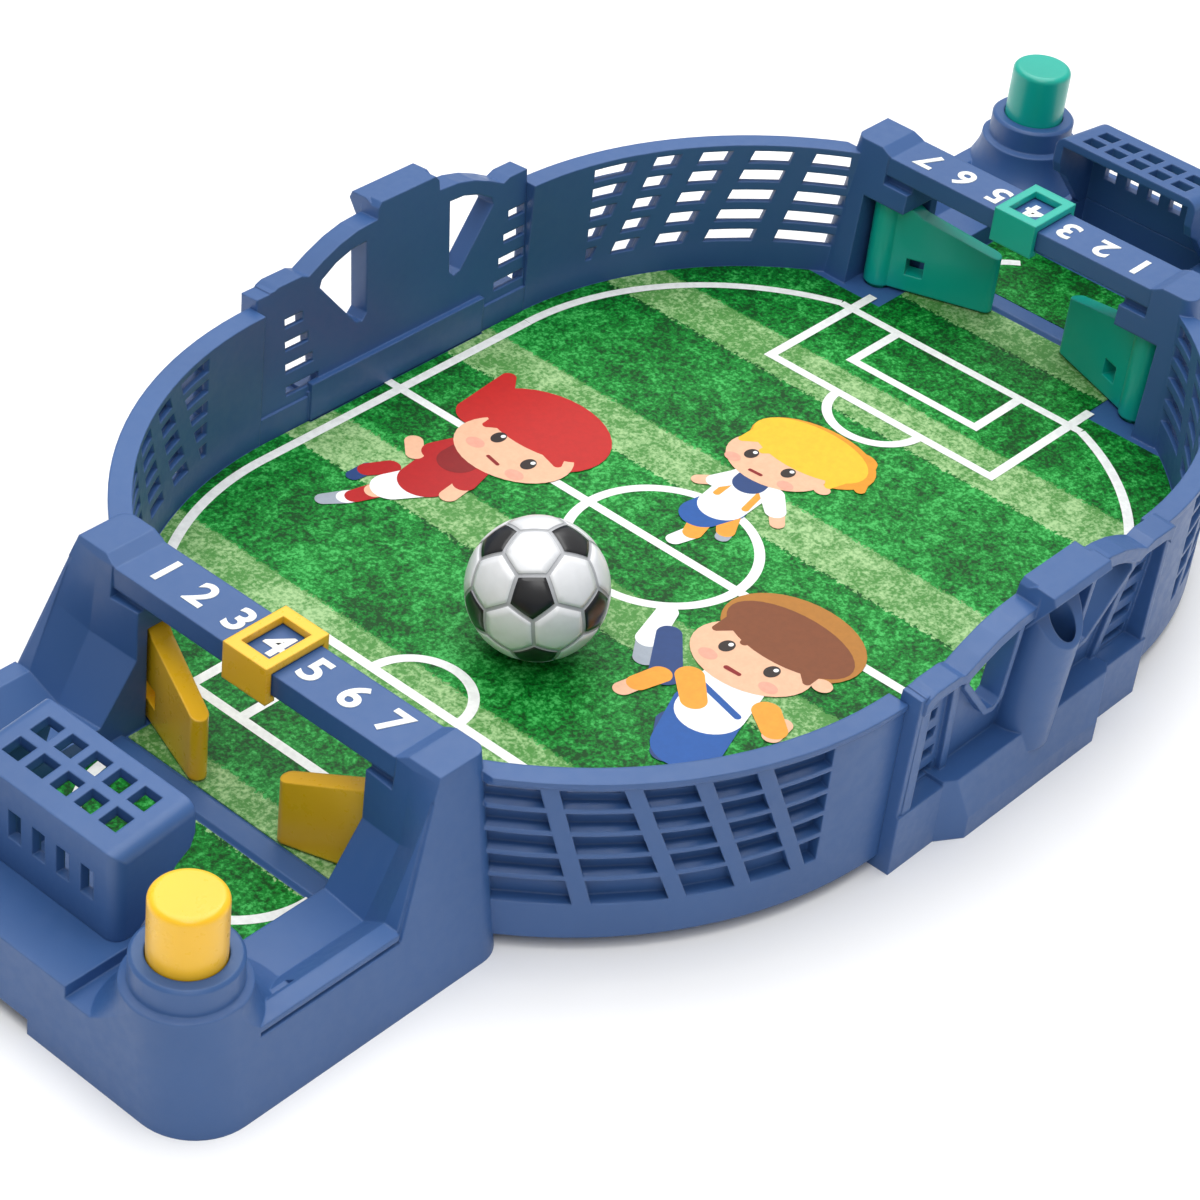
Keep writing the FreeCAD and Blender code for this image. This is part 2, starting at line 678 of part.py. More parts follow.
def build_score_marker(name, sign):
    """Sliding frame that hugs the score bar and shows one number."""
    wall, gap = "Sheet.marker_wall", "0.3"
    low, high = "Sheet.post_inner", "Sheet.post_outer"
    bar_top, bar_low = "Sheet.pitch_top + Sheet.bar_rise", "Sheet.pitch_top + Sheet.bar_under"
    half = "Sheet.marker_half"

    def piece(part, x0, x1, y, z0, z1):
        x0, x1 = span(sign, x0, x1)
        return bound_box(f"marker_{name}_{part}", (x0, f"-{y}", z0), (x1, y, z1))

    body = piece("body", f"{low} - {gap} - {wall}", f"{high} + {gap} + {wall}", half,
                 f"{bar_low} - 1.6", f"{bar_top} + {gap} + 1.6")
    run = piece("run", f"{low} - {gap}", f"{high} + {gap}", f"({half} + 1)",
                f"{bar_low} - 0.4", f"{bar_top} + {gap}")
    slot = piece("slot", f"{low} + 0.7", f"{high} - 0.7", f"({half} + 1)",
                 f"{bar_low} - 5", f"{bar_low} + 1")
    window = piece("window", f"{low} + 0.9", f"{high} - 0.9", f"({half} - 1.9)",
                   f"{bar_top} - 1", f"{bar_top} + 5")
    tools = fused(f"marker_{name}_tools", [run, slot, window])
    keep(less(f"marker_{name}_cut", body, tools), f"score_marker_{name}")


# ---------------------------------------------------------------- corner mechanisms

def build_button(tag, sx, sy):
    """Round cap with a retaining flange, hollow for its spring, and two wedge legs."""
    x, y = f"{sx} * Sheet.button_x", f"{sy} * Sheet.button_y"
    top, base = "Sheet.pitch_top + Sheet.button_rise", "Sheet.pitch_top + 10.4"
    cap = bound_cylinder(f"cap_{tag}", x, y, base, top, "Sheet.button_radius")
    rim = doc.addObject("Part::Fillet", f"cap_round_{tag}")
    rim.Base = cap
    doc.recompute()
    crown = [i + 1 for i, e in enumerate(cap.Shape.Edges)
             if e.Curve.TypeId == "Part::GeomCircle" and e.CenterOfMass.z > 40]
    rim.Edges = [(crown[0], 1.3, 1.3)]
    flange = bound_cylinder(f"flange_{tag}", x, y, base, "Sheet.pitch_top + 12.4",
                            "Sheet.cavity_radius - 0.5")
    legs = []
    tip_x, tip_z = 167.6, 7.9
    points = [(tip_x, tip_z), (tip_x, 18.4), (tip_x - 2.6, 18.4), (tip_x - 2.6, tip_z + 2.6)]
    for side in (-1, 1):
        slab = doc.addObject("Part::Feature", f"leg_{tag}_{'ab'[side > 0]}")
        y0 = sy * size("button_y") + side * 5.0
        slab.Shape = side_prism([(sx * u, z) for u, z in points], y0, y0 + side * 2.0)
        legs.append(slab)
    well = bound_cylinder(f"well_{tag}", x, y, f"{base} - 1", "Sheet.pitch_top + 14.5", "4.8")
    solid = fused(f"button_solid_{tag}", [rim, flange] + legs)
    keep(less(f"button_cut_{tag}", solid, well), f"button_{tag}")


def build_spring(tag, sx, sy):
    """Return spring under the button, closed ends flattened by their seats."""
    low = size("cover_under") + size("cover_thick")
    high = PITCH + 14.5
    wire, mean, turns = 0.7, 3.9, 7
    pitch = (high - low - wire) / turns
    helix = Part.makeLongHelix(pitch, high - low - wire, mean, 0)
    circle = Part.Wire(Part.makeCircle(0.5 * wire, V(mean, 0, 0), V(0, 1, 0)))
    coil = Part.Wire(helix.Edges).makePipeShell([circle], True, True)
    coil.translate(V(sx * size("button_x"), sy * size("button_y"), low + 0.5 * wire))
    feature(f"button_spring_{tag}", coil)


def build_push_slider(tag, sx, sy):
    """Fork under the button, ramps on its prongs, and a slotted end for the crank."""
    low = size("cover_under") + size("cover_thick") + size("play_gap")
    high = low + size("plate_thick")
    by = size("button_y")
    crank = crank_radius()
    lean = math.radians(size("flipper_swing") / 2)
    pin_x = size("hinge_x") + crank * math.sin(lean)
    near, far = size("hinge_y") - crank, size("hinge_y") - crank * math.cos(lean)
    body = block((pin_x - 4.6, 24.2, low), (150, 30.6, high))
    body = body.fuse(block((146, 24.2, low), (158.5, by + 7, high)))
    ramp = [(157, low), (173.3, low), (173.04, low + 0.3), (167.04, 8.1), (163.0, 8.1),
            (163.0, high), (157, high)]
    for side in (-1, 1):
        body = body.fuse(side_prism(ramp, by + side * 5.0, by + side * 7.0))
    half_slot, slack = 1.5 + 0.25, 1.5 + 0.4
    body = body.cut(block((pin_x - half_slot, near - slack, low - 1),
                          (pin_x + half_slot, far + slack, high + 1)))
    feature(f"push_slider_{tag}", placed(clean(body), sx, sy))


def placed(shape, sx, sy):
    """Mirror a shape from the +x +y corner into another corner."""
    if sx < 0:
        shape = shape.mirror(V(0, 0, 0), V(1, 0, 0))
    if sy < 0:
        shape = shape.mirror(V(0, 0, 0), V(0, 1, 0))
    return shape


def crank_radius():
    """Arm length that turns the button's travel into the flipper's swing."""
    half_swing = math.radians(size("flipper_swing") / 2)
    return 0.5 * size("button_travel") / math.sin(half_swing)


def build_crank(tag, sx, sy):
    """Arm under the floor: round hub, square drive boss and a drive pin."""
    low = size("cover_under") + size("cover_thick") + 2 * size("play_gap") + size("plate_thick")
    high = FLOOR_UNDER - size("play_gap")
    hx, hy = size("hinge_x"), size("hinge_y")
    lean = math.radians(size("flipper_swing") / 2)
    reach = crank_radius()
    px, py = hx + reach * math.sin(lean), hy - reach * math.cos(lean)
    arm = block((-2.2, 0, low), (2.2, reach, high))
    arm.rotate(V(0, 0, 0), V(0, 0, 1), 180 + math.degrees(lean))
    arm.translate(V(hx, hy, 0))
    body = rod(hx, hy, low, high, 4.0).fuse(arm).fuse(rod(px, py, low, high, 2.2))
    body = body.fuse(rod(px, py, low - 1.8, low + 0.5, 1.5))
    boss = block((-1.9, -1.9, high - 0.5), (1.9, 1.9, PITCH + 4.6))
    boss.rotate(V(0, 0, 0), V(0, 0, 1), size("flipper_back"))
    boss.translate(V(hx, hy, 0))
    body = body.fuse(boss)
    body = body.cut(rod(hx, hy, low - 1, PITCH + 10, size("pin_radius") + 0.06))
    feature(f"crank_{tag}", placed(clean(body), sx, sy))


def build_flipper(tag, sx, sy):
    """Tall paddle on a round hub, lower towards its rounded tip."""
    low, hub_top = PITCH + 0.5, PITCH + 21.6
    reach, hub = size("flipper_reach"), size("hub_radius")
    hx, hy = size("hinge_x"), size("hinge_y")
    root, tip = 2.2, 1.8
    plan = Part.Face(Part.makePolygon([V(0, -root, low), V(reach - tip, -tip, low),
                                       V(reach - tip, tip, low), V(0, root, low),
                                       V(0, -root, low)]))
    blade = plan.extrude(V(0, 0, hub_top - low)).fuse(rod(reach - tip, 0, low, hub_top, tip))
    side = [(-6, low), (reach + 1, low), (reach + 1, PITCH + 14.0), (8.5, PITCH + 19.5),
            (5.0, hub_top), (-6, hub_top)]
    blade = blade.common(side_prism(side, -8, 8))
    window = block((6.2, -6, PITCH + 4.6), (10.4, 6, PITCH + 8.8))
    blade = blade.cut(window)
    body = blade.fuse(rod(0, 0, low, hub_top, hub))
    body = body.cut(block((-1.9, -1.9, low - 1), (1.9, 1.9, PITCH + 4.6)))
    body = body.cut(rod(0, 0, low - 1, hub_top + 1, size("pin_radius") + 0.06))
    body.rotate(V(0, 0, 0), V(0, 0, 1), size("flipper_back") - 90)
    body.translate(V(hx, hy, 0))
    feature(f"flipper_{tag}", placed(clean(body), sx, sy))


def build_pivot_pin(tag, sx, sy):
    """Steel pin from the bottom cover up into the post."""
    x, y = f"{sx} * Sheet.hinge_x", f"{sy} * Sheet.hinge_y"
    pin = bound_cylinder(f"pin_{tag}", x, y, "Sheet.cover_under + Sheet.cover_thick",
                         "Sheet.pitch_top + 27", "Sheet.pin_radius")
    keep(pin, f"pivot_pin_{tag}")


# ---------------------------------------------------------------- covers, screws and ball

def cover_shape():
    low = size("cover_under")
    high = low + size("cover_thick")
    outline = rounded_rect(107.3, 177.7, 47.7, 3.7, 9.2, low)
    plate = Part.Face(outline).extrude(V(0, 0, high - low))
    plate = plate.cut(block((170, -13.5, -1), (190, 13.5, 9)))
    for rail in (22.6, 30.9):
        for tool in both_sides(block((120, rail, high - 0.1), (138, rail + 1.3, high + 1.8))):
            plate = plate.fuse(tool)
    for x, y in SCREW_SPOTS:
        plate = plate.cut(rod(x, y, low - 1, high + 1, SCREW_RADIUS))
        plate = plate.cut(Part.makeCone(2.3, SCREW_RADIUS, 1.0, V(x, y, low), V(0, 0, 1)))
    return clean(plate)


def build_covers():
    green = cover_shape()
    yellow = green.copy()
    yellow.rotate(V(0, 0, 0), V(0, 0, 1), 180)
    feature("bottom_cover_green", green)
    feature("bottom_cover_yellow", yellow)


def screw(x, y, low, length):
    """Countersunk self-tapping screw with a cross recess, point up."""
    head = Part.makeCone(2.3, SCREW_RADIUS, 1.0, V(x, y, low), V(0, 0, 1))
    shank = rod(x, y, low + 0.9, low + length, SCREW_RADIUS)
    cross = block((x - 1.4, y - 0.25, low - 1), (x + 1.4, y + 0.25, low + 0.5))
    cross = cross.fuse(block((x - 0.25, y - 1.4, low - 1), (x + 0.25, y + 1.4, low + 0.5)))
    return head.fuse(shank).cut(cross)


def build_screws():
    cover_screws = []
    for x, y in SCREW_SPOTS:
        length = FLOOR_UNDER - 0.4 - size("cover_under")
        cover_screws.append(screw(x, y, size("cover_under"), length))
        cover_screws.append(screw(-x, -y, size("cover_under"), length))
    feature("cover_screws", Part.makeCompound(cover_screws))
    tie_screws = []
    for x, y in BRIDGE_SCREW_SPOTS:
        low = FLOOR_UNDER - 1.8 - 1.0
        length = FLOOR_TOP - 0.4 - low
        tie_screws.append(screw(x, y, low, length))
        tie_screws.append(screw(-x, -y, low, length))
    feature("bridge_screws", Part.makeCompound(tie_screws))


def build_ball():
    ball = doc.addObject("Part::Sphere", "ball_body")
    ball.setExpression("Radius", "Sheet.ball_radius")
    ball.setExpression(".Placement.Base.x", "Sheet.ball_x")
    ball.setExpression(".Placement.Base.y", "Sheet.ball_y")
    ball.setExpression(".Placement.Base.z", "Sheet.pitch_top + Sheet.ball_radius + 0.02")
    keep(ball, "ball")


build_frame_halves()
build_side_bridges()
build_pitch_sheet()
build_goals()
build_score_marker("green", 1)
build_score_marker("yellow", -1)
for end, sx in (("green", 1), ("yellow", -1)):
    for hand, side in (("left", 1), ("right", -1)):
        corner = (f"{end}_{hand}", sx, -side * sx)
        build_button(*corner)
        build_spring(*corner)
        build_push_slider(*corner)
        build_crank(*corner)
        build_flipper(*corner)
        build_pivot_pin(*corner)
build_covers()
build_screws()
build_ball()

doc.recompute()
for obj in doc.Objects:
    for bad in ("Invalid", "Error"):
        if bad in obj.State:
            raise RuntimeError(f"{obj.Name} failed: {obj.State}")
os.makedirs("parts", exist_ok=True)
for obj in nodes:
    shape = obj.Shape
    if shape.isNull() or not shape.isValid():
        raise RuntimeError(f"{obj.Label} has no valid shape")
    shape.exportStep(f"parts/{obj.Label}.step")
    bounds = shape.BoundBox
    print(f"{obj.Label}: {len(shape.Solids)} solid, volume {shape.Volume:.0f}, "
          f"x {bounds.XMin:.1f} {bounds.XMax:.1f} y {bounds.YMin:.1f} {bounds.YMax:.1f} "
          f"z {bounds.ZMin:.1f} {bounds.ZMax:.1f}")
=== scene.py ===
import bmesh
import bpy
import json
import math
from mathutils import Matrix, Vector


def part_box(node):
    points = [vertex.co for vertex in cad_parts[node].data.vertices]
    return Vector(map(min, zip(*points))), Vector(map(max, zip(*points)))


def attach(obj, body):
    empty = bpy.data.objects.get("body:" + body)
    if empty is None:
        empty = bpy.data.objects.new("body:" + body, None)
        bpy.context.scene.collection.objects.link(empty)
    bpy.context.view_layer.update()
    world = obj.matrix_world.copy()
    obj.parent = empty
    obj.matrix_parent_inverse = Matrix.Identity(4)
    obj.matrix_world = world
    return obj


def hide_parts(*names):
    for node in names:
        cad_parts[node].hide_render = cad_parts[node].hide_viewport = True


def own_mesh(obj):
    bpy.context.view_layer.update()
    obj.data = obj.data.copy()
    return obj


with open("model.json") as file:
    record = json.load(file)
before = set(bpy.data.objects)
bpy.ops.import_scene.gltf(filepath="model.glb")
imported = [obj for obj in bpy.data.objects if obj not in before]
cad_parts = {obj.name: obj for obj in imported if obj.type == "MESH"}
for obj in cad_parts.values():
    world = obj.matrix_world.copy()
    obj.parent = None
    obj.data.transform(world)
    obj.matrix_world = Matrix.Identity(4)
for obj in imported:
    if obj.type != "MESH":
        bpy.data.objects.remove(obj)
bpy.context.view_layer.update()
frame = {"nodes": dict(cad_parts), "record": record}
nodes = frame["nodes"]
mm = 0.001
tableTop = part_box("pitch_sheet")[1][2]  # height of the playing surface
print("frame loaded:", len(nodes), "nodes")


def newMaterial(name):
    mat = bpy.data.materials.new(name)
    mat.use_nodes = True
    tree = mat.node_tree
    shader = tree.nodes["Principled BSDF"]
    return mat, tree, shader


def link(tree, source, target):
    tree.links.new(source, target)


def objectCoords(tree):
    return tree.nodes.new("ShaderNodeTexCoord").outputs["Object"]


def noise(tree, coords, scale, detail=2.0, roughness=0.5):
    node = tree.nodes.new("ShaderNodeTexNoise")
    node.inputs["Scale"].default_value = scale
    node.inputs["Detail"].default_value = detail
    node.inputs["Roughness"].default_value = roughness
    link(tree, coords, node.inputs["Vector"])
    return node.outputs["Fac"]


def remap(tree, value, low, high, fromLow=0.0, fromHigh=1.0):
    node = tree.nodes.new("ShaderNodeMapRange")
    link(tree, value, node.inputs["Value"])
    node.inputs["From Min"].default_value = fromLow
    node.inputs["From Max"].default_value = fromHigh
    node.inputs["To Min"].default_value = low
    node.inputs["To Max"].default_value = high
    return node.outputs["Result"]


def mathNode(tree, operation, a, b=None):
    node = tree.nodes.new("ShaderNodeMath")
    node.operation = operation
    for socket, value in zip(node.inputs, (a, b)):
        if value is None:
            continue
        if isinstance(value, (int, float)):
            socket.default_value = value
        else:
            link(tree, value, socket)
    return node.outputs[0]


def mixColour(tree, fac, a, b):
    node = tree.nodes.new("ShaderNodeMix")
    node.data_type = "RGBA"
    if isinstance(fac, (int, float)):
        node.inputs["Factor"].default_value = fac
    else:
        link(tree, fac, node.inputs["Factor"])
    for name, value in (("A", a), ("B", b)):
        socket = next(s for s in node.inputs if s.name == name and s.type == "RGBA")
        if isinstance(value, tuple):
            socket.default_value = (*value, 1.0)
        else:
            link(tree, value, socket)
    return next(s for s in node.outputs if s.type == "RGBA")


def softEdges(tree, shader, radius, height=None, strength=0.1):
    bevel = tree.nodes.new("ShaderNodeBevel")
    bevel.samples = 6
    bevel.inputs["Radius"].default_value = radius
    normal = bevel.outputs["Normal"]
    if height is not None:
        bump = tree.nodes.new("ShaderNodeBump")
        bump.inputs["Strength"].default_value = strength
        bump.inputs["Distance"].default_value = 0.0002
        link(tree, height, bump.inputs["Height"])
        link(tree, normal, bump.inputs["Normal"])
        normal = bump.outputs["Normal"]
    link(tree, normal, shader.inputs["Normal"])
    return bevel.outputs["Normal"]


def rubbedEdges(tree, bevelNormal):
    # how far the softened normal leans away from the true one: strong only along edges, where a
    # lighter colour is painted on as a highlight
    geometry = tree.nodes.new("ShaderNodeNewGeometry")
    dot = tree.nodes.new("ShaderNodeVectorMath")
    dot.operation = "DOT_PRODUCT"
    link(tree, bevelNormal, dot.inputs[0])
    link(tree, geometry.outputs["Normal"], dot.inputs[1])
    return remap(tree, dot.outputs["Value"], 1.0, 0.0, 0.80, 0.995)


# edge is a lighter colour painted along every edge as a highlight
plastics = {
    "blue_plastic": {"base": (0.036, 0.104, 0.282), "deep": (0.030, 0.090, 0.250),
                     "edge": (0.075, 0.165, 0.410), "rough": (0.40, 0.50), "coat": 0.06,
                     "radius": 0.0006},
    "yellow_plastic": {"base": (0.940, 0.560, 0.014), "deep": (0.880, 0.480, 0.010),
                       "edge": (1.000, 0.620, 0.060), "rough": (0.26, 0.36), "coat": 0.25,
                       "radius": 0.0006},
    "green_plastic": {"base": (0.000, 0.420, 0.330), "deep": (0.000, 0.370, 0.285),
                      "edge": (0.040, 0.530, 0.430), "rough": (0.28, 0.38), "coat": 0.25,
                      "radius": 0.0006},
    "black_plastic": {"base": (0.018, 0.018, 0.020), "deep": (0.012, 0.012, 0.014),
                      "edge": (0.050, 0.050, 0.054), "rough": (0.44, 0.56), "coat": 0.0,
                      "radius": 0.0003},
}


def mouldedPlastic(name, look):
    mat, tree, shader = newMaterial(name)
    coords = objectCoords(tree)
    cloud = noise(tree, coords, 22.0, 3.0)
    grain = noise(tree, coords, 2600.0, 2.0, 0.6)
    flow = noise(tree, coords, 140.0, 4.0, 0.55)
    body = mixColour(tree, remap(tree, cloud, 0.0, 1.0, 0.35, 0.65), look["base"], look["deep"])
    height = mathNode(tree, "ADD", mathNode(tree, "MULTIPLY", grain, 0.35), flow)
    bevelNormal = softEdges(tree, shader, look["radius"], height, 0.05)
    # painted highlight: the lighter edge colour is laid along the edges, broken up by noise
    edgeMask = rubbedEdges(tree, bevelNormal)
    paintedEdgeHighlight = mathNode(tree, "MULTIPLY", edgeMask, remap(tree, flow, 0.25, 0.8, 0.4, 0.65))
    link(tree, mixColour(tree, paintedEdgeHighlight, body, look["edge"]), shader.inputs["Base Color"])
    rough = remap(tree, noise(tree, coords, 420.0, 3.0, 0.6), *look["rough"], 0.35, 0.65)
    link(tree, rough, shader.inputs["Roughness"])
    shader.inputs["Coat Weight"].default_value = look["coat"]
    shader.inputs["Coat Roughness"].default_value = 0.22
    return mat


def wireSteel(name, base, rough):
    mat, tree, shader = newMaterial(name)
    coords = objectCoords(tree)
    streak = noise(tree, coords, 900.0, 3.0, 0.6)
    link(tree, mixColour(tree, streak, tuple(c * 0.75 for c in base), base),
         shader.inputs["Base Color"])
    link(tree, remap(tree, streak, rough, rough + 0.16), shader.inputs["Roughness"])
    shader.inputs["Metallic"].default_value = 1.0
    softEdges(tree, shader, 0.0001, streak, 0.08)
    return mat


finishes = {name: mouldedPlastic(name, look) for name, look in plastics.items()}
finishes["steel"] = wireSteel("steel", (0.62, 0.62, 0.64), 0.24)
finishes["screw_steel"] = wireSteel("screw_steel", (0.48, 0.48, 0.50), 0.32)

grass = {
    "dark": (0.000, 0.050, 0.004),
    "mid": (0.000, 0.190, 0.017),
    "light": (0.060, 0.460, 0.100),
    "band": (0.070, 0.245, 0.050),
    "bandLight": (0.360, 0.560, 0.260),
    "period": 0.048,
    "bandHalf": 0.0068,
    "centreX": -0.0022,
    "ragged": 0.0011,
}


def printedGrass():
    mat, tree, shader = newMaterial("printed_grass")
    coords = objectCoords(tree)
    split = tree.nodes.new("ShaderNodeSeparateXYZ")
    link(tree, coords, split.inputs[0])
    blades = noise(tree, coords, 1050.0, 4.0, 0.70)
    tufts = noise(tree, coords, 330.0, 4.0, 0.62)
    patches = noise(tree, coords, 42.0, 3.0, 0.5)
    fine = remap(tree, blades, 0.0, 1.0, 0.41, 0.61)
    coarse = remap(tree, tufts, 0.0, 1.0, 0.37, 0.64)
    mixFine = mathNode(tree, "ADD", mathNode(tree, "MULTIPLY", fine, 0.55),
                       mathNode(tree, "MULTIPLY", coarse, 0.45))
    shade = mathNode(tree, "ADD", mixFine, remap(tree, patches, -0.15, 0.15, 0.35, 0.65))
    turf = mixColour(tree, remap(tree, shade, 0.0, 1.0, 0.15, 0.50), grass["dark"], grass["mid"])
    turf = mixColour(tree, remap(tree, shade, 0.0, 1.0, 0.56, 1.00), turf, grass["light"])
    pale = mixColour(tree, remap(tree, shade, 0.0, 1.0, 0.25, 0.90), grass["band"],
                     grass["bandLight"])
    # mown bands run across the pitch, their borders broken up by single blades
    stray = remap(tree, blades, -grass["ragged"], grass["ragged"], 0.3, 0.7)
    x = mathNode(tree, "ADD", split.outputs["X"], stray)
    x = mathNode(tree, "SUBTRACT", x, grass["centreX"])
    wave = mathNode(tree, "PINGPONG", mathNode(tree, "ABSOLUTE", x), 0.5 * grass["period"])
    inBand = mathNode(tree, "GREATER_THAN", wave, 0.5 * grass["period"] - grass["bandHalf"])
    link(tree, mixColour(tree, inBand, turf, pale), shader.inputs["Base Color"])
    shader.inputs["Roughness"].default_value = 0.50
    shader.inputs["Specular IOR Level"].default_value = 0.22
    bump = tree.nodes.new("ShaderNodeBump")
    bump.inputs["Strength"].default_value = 0.12
    bump.inputs["Distance"].default_value = 0.0001
    link(tree, blades, bump.inputs["Height"])
    link(tree, bump.outputs["Normal"], shader.inputs["Normal"])
    return mat


def printInk(name, colour, variation=0.06, rough=0.42):
    mat, tree, shader = newMaterial(name)
    coords = objectCoords(tree)
    specks = noise(tree, coords, 700.0, 3.0, 0.6)
    darker = tuple(c * (1 - variation * 2.2) for c in colour)
    link(tree, mixColour(tree, remap(tree, specks, 0.0, 1.0, 0.35, 0.65), darker, colour),
         shader.inputs["Base Color"])
    shader.inputs["Roughness"].default_value = rough
    shader.inputs["Specular IOR Level"].default_value = 0.3
    bump = tree.nodes.new("ShaderNodeBump")
    bump.inputs["Strength"].default_value = 0.05
    bump.inputs["Distance"].default_value = 0.0001
    link(tree, specks, bump.inputs["Height"])
    link(tree, bump.outputs["Normal"], shader.inputs["Normal"])
    return mat


finishes["printed_grass"] = printedGrass()
lineWhite = printInk("lineWhite", (0.86, 0.88, 0.86))
print("materials ready")

slotOf = {part["node"]: part["material_slot"] for part in frame["record"]["subparts"]}
for nodeName, nodeObject in nodes.items():
    finish = finishes.get(slotOf[nodeName])
    if finish and nodeObject.type == "MESH":
        for slot in nodeObject.material_slots:
            slot.material = finish


def meshObject(name, bm, materials, body, smooth=False):
    mesh = bpy.data.meshes.new(name)
    bmesh.ops.recalc_face_normals(bm, faces=bm.faces)
    bm.to_mesh(mesh)
    bm.free()
    obj = bpy.data.objects.new(name, mesh)
    bpy.context.scene.collection.objects.link(obj)
    for mat in materials:
        mesh.materials.append(mat)
    if smooth:
        mesh.shade_smooth()
    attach(obj, body)
    return obj


def faceUp(bm):
    for face in bm.faces:
        face.normal_update()
        if face.normal.z < 0:
            face.normal_flip()


def ringStrip(bm, centre, radius, width, start, sweep, z, steps):
    # a flat arc: a short radial edge spun round its centre
    first = Vector((math.cos(start), math.sin(start), 0))
    ends = [bm.verts.new(Vector((*centre, z)) + first * (radius + side * width / 2))
            for side in (-1, 1)]
    edge = bm.edges.new(ends)
    bmesh.ops.spin(bm, geom=[*ends, edge], cent=(*centre, z), axis=(0, 0, 1),
                   angle=sweep, steps=steps, use_duplicate=False)
    bmesh.ops.remove_doubles(bm, verts=bm.verts, dist=1e-7)


def straightStrip(bm, start, end, width, z):
    a, b = Vector((*start, z)), Vector((*end, z))
    across = (b - a).normalized().cross(Vector((0, 0, 1))) * (width / 2)
    pair = [bm.verts.new(a - across), bm.verts.new(a + across)]
    edge = bm.edges.new(pair)
    pulled = bmesh.ops.extrude_edge_only(bm, edges=[edge])
    moved = [item for item in pulled["geom"] if isinstance(item, bmesh.types.BMVert)]
    bmesh.ops.translate(bm, verts=moved, vec=b - a)


pitchLines = {
    "width": 0.0022,
    "lift": 0.00003,
    "layer": 0.000003,
    "centre": (-0.0030, 0.0015),
    "touchY": 0.0732,
    "straightHalf": 0.040,
    "goalX": 0.1005,
    "boxX": 0.0716,
    "boxY": 0.0300,
    "boxOver": 0.0080,
    "smallX": 0.0840,
    "smallY": 0.0168,
    "circle": 0.0198,
    "dRadius": 0.0112,
    "cornerMeetY": 0.0330,
    "overrun": 0.0045,
    "goalCurveX": 0.1285,
    "goalCurveY": 0.0060,
    "goalCurve": 0.0195,
    "goalCurveSweep": math.radians(52),
}


def makePitchLines():
    s = pitchLines
    cx, cy = s["centre"]
    w = s["width"]
    bm = bmesh.new()
    layer = 0

    def at(x, y):
        return (cx + x, cy + y)

    def level():
        # strips that cross lie a few thousandths of a millimetre apart
        nonlocal layer
        layer += 1
        return tableTop + s["lift"] + layer * s["layer"]

    def strip(start, end):
        straightStrip(bm, start, end, w, level())

    for side in (-1, 1):
        strip(at(-s["straightHalf"], side * s["touchY"]), at(s["straightHalf"], side * s["touchY"]))
    end = s["touchY"] + s["overrun"]
    strip(at(0, -end), at(0, end))
    ringStrip(bm, at(0, 0), s["circle"], w, 0, 2 * math.pi, level(), 96)
    # each corner is one wide bend from the touch line to the goal line
    dx = s["goalX"] - s["straightHalf"]
    dy = s["touchY"] - s["cornerMeetY"]
    bend = (dx * dx + dy * dy) / (2 * dy)
    sweep = math.asin(dx / bend)
    for side in (-1, 1):
        goalX, boxX, smallX = (side * s[key] for key in ("goalX", "boxX", "smallX"))
        for top in (-1, 1):
            centre = at(side * s["straightHalf"], top * (s["touchY"] - bend))
            ringStrip(bm, centre, bend, w, top * math.pi / 2, -side * top * sweep, level(), 32)
            strip(at(boxX, top * s["boxY"]), at(goalX + side * s["boxOver"], top * s["boxY"]))
            strip(at(smallX, top * s["smallY"]), at(goalX, top * s["smallY"]))
            # quarter line on the floor of the goal
            ringStrip(bm, (side * s["goalCurveX"], top * s["goalCurveY"]), s["goalCurve"], w,
                      top * math.pi / 2, -side * top * s["goalCurveSweep"], level(), 20)
        strip(at(goalX, -s["cornerMeetY"]), at(goalX, s["cornerMeetY"]))
        strip(at(boxX, -s["boxY"] - w / 2), at(boxX, s["boxY"] + w / 2))
        strip(at(smallX, -s["smallY"] - w / 2), at(smallX, s["smallY"] + w / 2))
        startAngle = math.pi / 2 if side > 0 else -math.pi / 2
        ringStrip(bm, at(boxX, 0), s["dRadius"], w, startAngle, math.pi, level(), 40)
    faceUp(bm)
    return meshObject("pitchLines", bm, [lineWhite], "table")


makePitchLines()


inks = {
    "skin": (0.820, 0.470, 0.300),
    "blush": (0.850, 0.360, 0.260),
    "eye": (0.025, 0.015, 0.012),
    "white": (0.860, 0.880, 0.880),
    "grey": (0.330, 0.370, 0.430),
    "red": (0.430, 0.008, 0.008),
    "darkRed": (0.240, 0.006, 0.006),
    "auburn": (0.500, 0.012, 0.008),
    "blond": (0.850, 0.500, 0.020),
    "darkBlond": (0.720, 0.290, 0.012),
    "brown": (0.200, 0.055, 0.014),
    "lightBrown": (0.420, 0.170, 0.020),
    "blue": (0.008, 0.085, 0.340),
    "navy": (0.015, 0.050, 0.180),
    "orange": (0.850, 0.330, 0.030),
}

